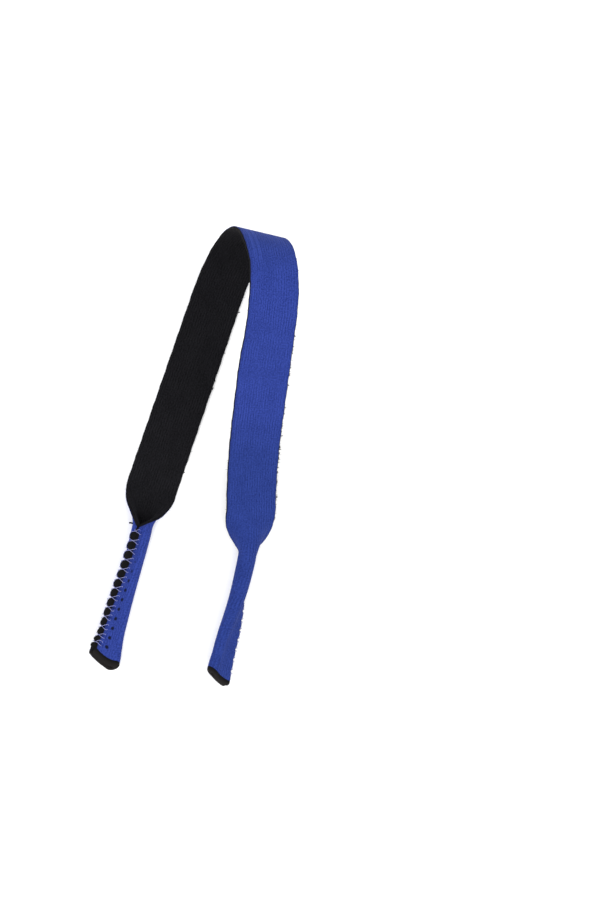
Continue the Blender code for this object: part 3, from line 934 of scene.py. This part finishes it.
def sleeve_zone(side, *span):
    """A sleeve with the end of its neck, which twist against each other."""
    return {
        "span": span,
        "bodies": (f"{side}_neck", f"{side}_sleeve"),
        "bend": sleeve_twist(side),
        "stands_for": (f"{side}_sleeve", f"{side}_neck"),
        "held": "folded",
    }


def band_zone(bodies, bend, held, *span):
    """A stretch of the band, which bends between two bodies."""
    return {"span": span, "bodies": bodies, "bend": bend, "stands_for": bodies, "held": held}


T_LEFT_LEG, T_RIGHT_SLEEVE = T_LEFT_BAND - LEG_REACH, T_RIGHT_BAND + LEG_REACH
ZONES = {
    "left_sleeve": sleeve_zone("left", 0.0, T_LEFT_LEG),
    "left_leg": band_zone(("left_neck", "left_band"), neck_flex("left"), "laid", T_LEFT_LEG, T_ARC_START),
    "crown": band_zone(("left_band", "right_band"), crown_flex(), "folded", T_ARC_START, T_ARC_END),
    "right_leg": band_zone(
        ("right_neck", "right_band"), neck_flex("right"), "laid", T_ARC_END, T_RIGHT_SLEEVE),
    "right_sleeve": sleeve_zone("right", T_RIGHT_SLEEVE, T_END),
}

# Each layer's offsets, half width, rounded rim, CAD node and material slot
LAYERS = {
    "jersey": (jersey_offsets, HALF_WIDTH - JERSEY_INSET, CLOTH_RIM, "outer_jersey", "blue_jersey"),
    "foam": (foam_offsets, HALF_WIDTH + EDGE_BULGE, FOAM_RIM, "foam_core", "black_foam"),
    "lining": (lining_offsets, HALF_WIDTH - JERSEY_INSET, CLOTH_RIM, "lining_jersey", "black_jersey"),
}


def bend_with(piece):
    """Bakes the piece's transform into its mesh."""
    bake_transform(piece)


def zone_rows(zone, bare):
    """Places t of a zone's rows, closer together on the sleeves and at a mouth's rounded end."""
    start, end = ZONES[zone]["span"]
    sleeve = zone.endswith("sleeve")
    first = bare if start == 0.0 else start
    last = T_END - bare if end == T_END else end
    steps = int(round((last - first) / (SLEEVE_STEP if sleeve else BAND_STEP)))
    rows = np.linspace(first, last, steps + 1)
    curl = MOUTH_ROUND * (1 - np.cos(np.linspace(0, pi / 2, MOUTH_ROWS)))
    if start == 0.0:
        rows = np.concatenate([bare + curl, rows[rows > bare + MOUTH_ROUND + SLEEVE_STEP / 4]])
    if end == T_END:
        near = T_END - bare
        rows = np.concatenate([rows[rows < near - MOUTH_ROUND - SLEEVE_STEP / 4], (near - curl)[::-1]])
    return rows


def build_layer(layer, zone):
    """One zone of one layer as a piece, and its length along the strip."""
    offsets, half, rim, node, slot = LAYERS[layer]
    bare = 0.0 if layer == "foam" else MOUTH_BARE
    rows = zone_rows(zone, bare)
    sleeve = zone.endswith("sleeve")
    v = columns(half, rim, MIDDLE_COLUMNS["sleeve" if sleeve else "band"])
    material = MATERIALS[layer]
    if layer == "jersey":
        material = material[zone if sleeve else "band"]
    piece = layer_object(f"{layer}_{zone}", rows, v, offsets, material)
    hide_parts(*(f"{body}_{node}" for body in ZONES[zone]["stands_for"]))
    bend_with(piece)
    return piece, rows[-1] - rows[0]


def build_strip():
    """All three layers of every zone. The cloths lie on the foam."""
    for zone, facts in ZONES.items():
        foam, _ = build_layer("foam", zone)
        for layer in ("jersey", "lining"):
            cloth, length = build_layer(layer, zone)


# ---- the overstitched seams

# Half width and half height of a bead: squeezed at a stitch, and swollen between two
BEAD_WIDTH = {"left": (0.00015, 0.00133), "right": (0.00015, 0.0012)}
BEAD_HEIGHT = {"left": (0.0001, 0.00125), "right": (0.0001, 0.00045)}
BEAD_END = {"left": 0.0014, "right": 0.0001}
FIRST_BEAD, BEAD_GROWTH = 0.62, 0.022
BEAD_STRAY = 0.01
BEAD_WOBBLE, WOBBLE_RATE = 0.07, 7.2
BEAD_SINK = 0.0002
# The right seam ends in a thicker nub
NUB, NUB_LENGTH = {"left": 0.0, "right": 0.9}, 0.002
TIP_ROWS, TIP_LEAST = 6, 0.02
BEAD_STEP = 0.0002
BEAD_SIDES = 20
BEAD_SEED = 7

# A stitch's thread, from its needle hole to the raw edges: how far along its lean it is, and where
ARM_LENGTH = {"left": 0.0013, "right": 0.0005}
CROSSING_LIFT = {"left": 0.0006, "right": -0.0002}
LEAN_SHARES = (0.0, 0.2, 0.9, 1.0, 0.6)
HIDDEN_DEPTH, SURFACING = 0.0004, 0.0006
EDGE_BEFORE, EDGE_PAST = 0.0004, 0.0003
THREAD_PROUD, PAST_EDGE_LIFT = 0.6, 0.8
STITCH_LEAN, LEAN_RANGE = 0.0011, (0.8, 1.15)
STRAND_STEPS, THREAD_SIDES = 4, 6
THREAD_SEED = 11


def crest(side, distance):
    """Height of the raw edges over the tube's bottom, at one distance along the sleeve."""
    height = section(fully_rolled, tube_share(side, distance), HALF_WIDTH, 0.0)[1]
    return height - CREST_DROP[side] * (1 - scallop(side, distance))


def build_beads(side):
    """The two raw foam edges swell into a chain of beads between the stitches."""
    end = SLEEVE_END[side] - BEAD_END[side]
    count = int((end - STITCH_START) / BEAD_STEP)
    random = np.random.default_rng(BEAD_SEED)
    angles = np.linspace(0, 2 * pi, BEAD_SIDES, endpoint=False)
    rows = []
    for i in range(count + 1):
        distance = mix(STITCH_START, end, i / count)
        tip = np.sqrt(np.clip(min(i, count - i) / TIP_ROWS, TIP_LEAST, 1))
        size = mix(FIRST_BEAD, 1.0, smooth((distance - STITCH_START) / BEAD_GROWTH))
        size += random.normal(0, BEAD_STRAY)
        size += BEAD_WOBBLE * np.sin(WOBBLE_RATE * (distance - STITCH_START) / STITCH_PITCH)
        size += NUB[side] * smooth(1 - (end - distance) / NUB_LENGTH)
        swell = scallop(side, distance) * size
        width = mix(*BEAD_WIDTH[side], swell) * tip
        tall = mix(*BEAD_HEIGHT[side], swell) * tip
        x = width * np.cos(angles)
        height = crest(side, distance) - BEAD_SINK + tall * np.sin(angles)
        rows.append(tube_place(side, distance, x, height) + SHIFT)
    vertices = np.concatenate(rows)
    faces = tube_faces(0, len(rows), BEAD_SIDES)
    middle = np.full((len(vertices), 2), (T_LEFT_BAND, 0.0))
    piece = new_object(f"foam_{side}_seam_beads", vertices, faces, middle, MATERIALS["foam"])
    bend_with(piece)


def strand(side, stitch, lean):
    """One thread of a stitch: from a needle hole over the raw edges to the hole on the other face."""
    middle = STITCH_START + stitch * STITCH_PITCH
    top = crest(side, middle) + CROSSING_LIFT[side]
    lift = HALF_LAMINATE + THREAD_RADIUS * THREAD_PROUD
    under = HALF_LAMINATE - HIDDEN_DEPTH
    arm = HALF_WIDTH - ARM_LENGTH[side]
    places = (NEEDLE_LINE, arm - SURFACING, arm, HALF_WIDTH - EDGE_BEFORE, HALF_WIDTH + EDGE_PAST)
    heights = (under, under, HALF_LAMINATE, lift, lift * PAST_EDGE_LIFT)
    half = list(zip(LEAN_SHARES, places, heights))
    points = []
    for sign, route in ((-1, half), (1, half[::-1])):
        for share, v, n in route:
            distance = middle + sign * lean * share
            x, height = section(fully_rolled, tube_share(side, distance), sign * v, n)
            x, height = fin_shape(side, distance, x, height, sign * v)
            points.append(tube_place(side, distance, np.array([x]), np.array([height]))[0])
        if sign < 0:
            points.append(tube_place(side, middle, np.zeros(1), np.array([top]))[0])
    return catmull(np.array(points) + SHIFT, STRAND_STEPS)


def build_threads(side):
    """Needle and looper thread lean opposite ways, so they cross between the beads."""
    random = np.random.default_rng(THREAD_SEED)
    for kind, lean in (("needle", STITCH_LEAN), ("looper", -STITCH_LEAN)):
        paths = [strand(side, i, lean * random.uniform(*LEAN_RANGE)) for i in range(STITCHES[side])]
        radii = [np.full(len(path), THREAD_RADIUS) for path in paths]
        name = f"{side}_{kind}_stitches"
        piece = tubes_object(name, paths, radii, THREAD_SIDES, MATERIALS["thread"])
        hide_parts(f"{side}_{kind}_thread")
        bend_with(piece)


# ---- loose fibres on the cut edges

FIBRE_RADIUS, FIBRE_TAPER = 0.00006, 0.4
FIBRES_ON_EDGE_A = 250
FIBRES_PER_METRE = {"left_leg": 250, "crown": 400, "right_leg": 1600}
SHORTEST_FIBRE, LONGEST_FIBRE = 0.0002, 0.0006
FIBRE_BEND, FIBRE_LEAN, FIBRE_KNEE = 0.35, 0.3, 0.6
ROOT_DEPTH, ROOT_SPREAD, OUT_STEP = 0.0001, 0.0005, 0.0003
FIBRE_STEPS, FIBRE_SIDES = 2, 4
# Pills are short, thick bunches of fibres on edge B; a tuft is a bigger one, at a place t
PILLS_PER_METRE = {"left_leg": 40, "crown": 60, "right_leg": 300}
PILL_RADIUS, PILL_REACH, PILL_TAPER = 0.0002, 0.00055, 0.5
PILL_FIBRES, TUFT_FIBRES = 3, 9
PILL_SPREAD = 0.0003
TUFTS = (0.300, 0.3045, 0.3145, 0.120)
FIRST_FIBRE_SEED = 3


def fibre(random, t, sign, longest):
    """One loose fibre standing out of a cut edge."""
    root = strip_point(t, sign * (HALF_WIDTH - ROOT_DEPTH), random.uniform(-ROOT_SPREAD, ROOT_SPREAD))
    out = strip_point(t, sign * (HALF_WIDTH + OUT_STEP), 0.0) - strip_point(t, sign * HALF_WIDTH, 0.0)
    out /= np.linalg.norm(out)
    reach = random.uniform(SHORTEST_FIBRE, longest)
    bend = random.normal(0, FIBRE_BEND, 3) * reach
    lean = random.normal(0, FIBRE_LEAN, 3) * reach
    knee = root + out * reach * FIBRE_KNEE + lean
    path = catmull([root, knee, root + out * reach + lean + bend], FIBRE_STEPS)
    path[:, 2] = np.maximum(path[:, 2], FIBRE_RADIUS)
    return path


def build_fibres(zone, seed):
    """Fibres on both cut edges of a zone, with pills and tufts on edge B."""
    random = np.random.default_rng(seed)
    start, end = ZONES[zone]["span"]
    paths = []
    for sign, per_metre in ((-1, FIBRES_ON_EDGE_A), (1, FIBRES_PER_METRE[zone])):
        for _ in range(int((end - start) * per_metre)):
            paths.append(fibre(random, random.uniform(start, end), sign, LONGEST_FIBRE))
    radii = [np.linspace(FIBRE_RADIUS, FIBRE_RADIUS * FIBRE_TAPER, len(path)) for path in paths]
    pill_count = int((end - start) * PILLS_PER_METRE[zone])
    bunches = [(random.uniform(start, end), PILL_FIBRES) for _ in range(pill_count)]
    bunches += [(t, TUFT_FIBRES) for t in TUFTS if start < t < end]
    for t, count in bunches:
        for _ in range(count):
            path = fibre(random, t + random.normal(0, PILL_SPREAD), 1, PILL_REACH)
            paths.append(path)
            radii.append(np.linspace(PILL_RADIUS, PILL_RADIUS * PILL_TAPER, len(path)))
    piece = tubes_object(f"lint_{zone}", paths, radii, FIBRE_SIDES, MATERIALS["lining"])
    bend_with(piece)


TAIL_RADIUS, TAIL_LENGTH = 0.00033, 0.0018
TAIL_V, TAIL_SINK = -0.0052, 0.0002
TAIL_TURN, TAIL_RISE, TAIL_BOW = 0.0001, 0.0002, 0.0001
TAIL_STEPS, TAIL_SIDES = 4, 8


def build_thread_tail():
    """The knotted end of the left seam's thread sticks out beside the neck."""
    root = strip_point(T_LEFT_BAND - FUNNEL_LENGTH, TAIL_V, HALF_LAMINATE - TAIL_SINK)
    tip = root + np.array([-TAIL_LENGTH, -TAIL_TURN, TAIL_RISE])
    middle = (root + tip) / 2 + np.array([0.0, TAIL_BOW, TAIL_BOW])
    path = catmull([root, middle, tip], TAIL_STEPS)
    radii = [np.full(len(path), TAIL_RADIUS)]
    piece = tubes_object("left_thread_tail", [path], radii, TAIL_SIDES, MATERIALS["lining"])
    bend_with(piece)


build_strip()
build_thread_tail()
for strip_side in ("left", "right"):
    build_beads(strip_side)
    build_threads(strip_side)
for zone_seed, zone_name in enumerate(("left_leg", "crown", "right_leg"), FIRST_FIBRE_SEED):
    build_fibres(zone_name, zone_seed)

# ---- floor, light and camera

FLOOR_SIZE, FLOOR_HEIGHT = 6.0, -0.0002
FLOOR_COLOUR, FLOOR_ROUGHNESS = (0.97, 0.97, 0.97, 1), 0.9
# Position, diameter and power of each light; both point at the origin
LIGHTS = {
    "key": ((-0.5, -0.3, 0.9), 0.7, 6.0),
    "fill": ((0.7, 0.4, 0.8), 0.8, 3.0),
}
WORLD_STRENGTH = 1.15
CAMERA_AZIMUTH, CAMERA_ELEVATION, CAMERA_ROLL = radians(65.2), radians(72.3), radians(79.3)
CAMERA_DISTANCE = 0.609
FOCAL_LENGTH, SENSOR_WIDTH = 57.16, 36.0
CAMERA_TARGET = Vector((0.0374, 0.0122, 0.0))
CLIP_START, CLIP_END = 0.01, 20.0


def build_floor():
    """A white floor just under the strap."""
    mesh = bpy.data.meshes.new("floor")
    half = FLOOR_SIZE / 2
    corners = [(-half, -half, 0), (half, -half, 0), (half, half, 0), (-half, half, 0)]
    mesh.from_pydata(corners, [], [(0, 1, 2, 3)])
    floor = bpy.data.objects.new("floor", mesh)
    floor.location.z = FLOOR_HEIGHT
    link(floor)
    material, nodes = new_material("floor", FLOOR_ROUGHNESS, specular=0.0)
    nodes.set("Base Color", FLOOR_COLOUR)
    mesh.materials.append(material)


def build_light(name, position, size, power):
    """A round area light that points at the origin."""
    data = bpy.data.lights.new(name, "AREA")
    data.shape = "DISK"
    data.size = size
    data.energy = power
    light = bpy.data.objects.new(name, data)
    light.location = position
    light.rotation_mode = "QUATERNION"
    light.rotation_quaternion = (-light.location).to_track_quat("-Z", "Y")
    link(light)


def build_world():
    """An even white surround."""
    world = bpy.data.worlds.new("studio")
    world.use_nodes = True
    background = world.node_tree.nodes["Background"]
    background.inputs["Color"].default_value = (1.0, 1.0, 1.0, 1)
    background.inputs["Strength"].default_value = WORLD_STRENGTH
    bpy.context.scene.world = world


def build_camera():
    """The camera looks at its target from an azimuth and elevation, and is rolled about its axis."""
    data = bpy.data.cameras.new("camera")
    data.sensor_width = SENSOR_WIDTH
    data.lens = FOCAL_LENGTH
    data.clip_start = CLIP_START
    data.clip_end = CLIP_END
    camera = bpy.data.objects.new("camera", data)
    back = Vector((-sin(CAMERA_AZIMUTH) * cos(CAMERA_ELEVATION),
                   -cos(CAMERA_AZIMUTH) * cos(CAMERA_ELEVATION), sin(CAMERA_ELEVATION)))
    right = (-back).cross(Vector((0, 0, 1))).normalized()
    up = right.cross(-back)
    rolled_right = right * cos(CAMERA_ROLL) + up * sin(CAMERA_ROLL)
    rolled_up = up * cos(CAMERA_ROLL) - right * sin(CAMERA_ROLL)
    turn = Matrix((rolled_right, rolled_up, back)).transposed()
    camera.rotation_mode = "QUATERNION"
    camera.rotation_quaternion = turn.to_quaternion()
    camera.location = CAMERA_TARGET + back * CAMERA_DISTANCE
    link(camera)
    bpy.context.scene.camera = camera


build_floor()
for light_name, light_facts in LIGHTS.items():
    build_light(light_name, *light_facts)
build_world()
build_camera()
bpy.context.scene.view_settings.view_transform = "Standard"
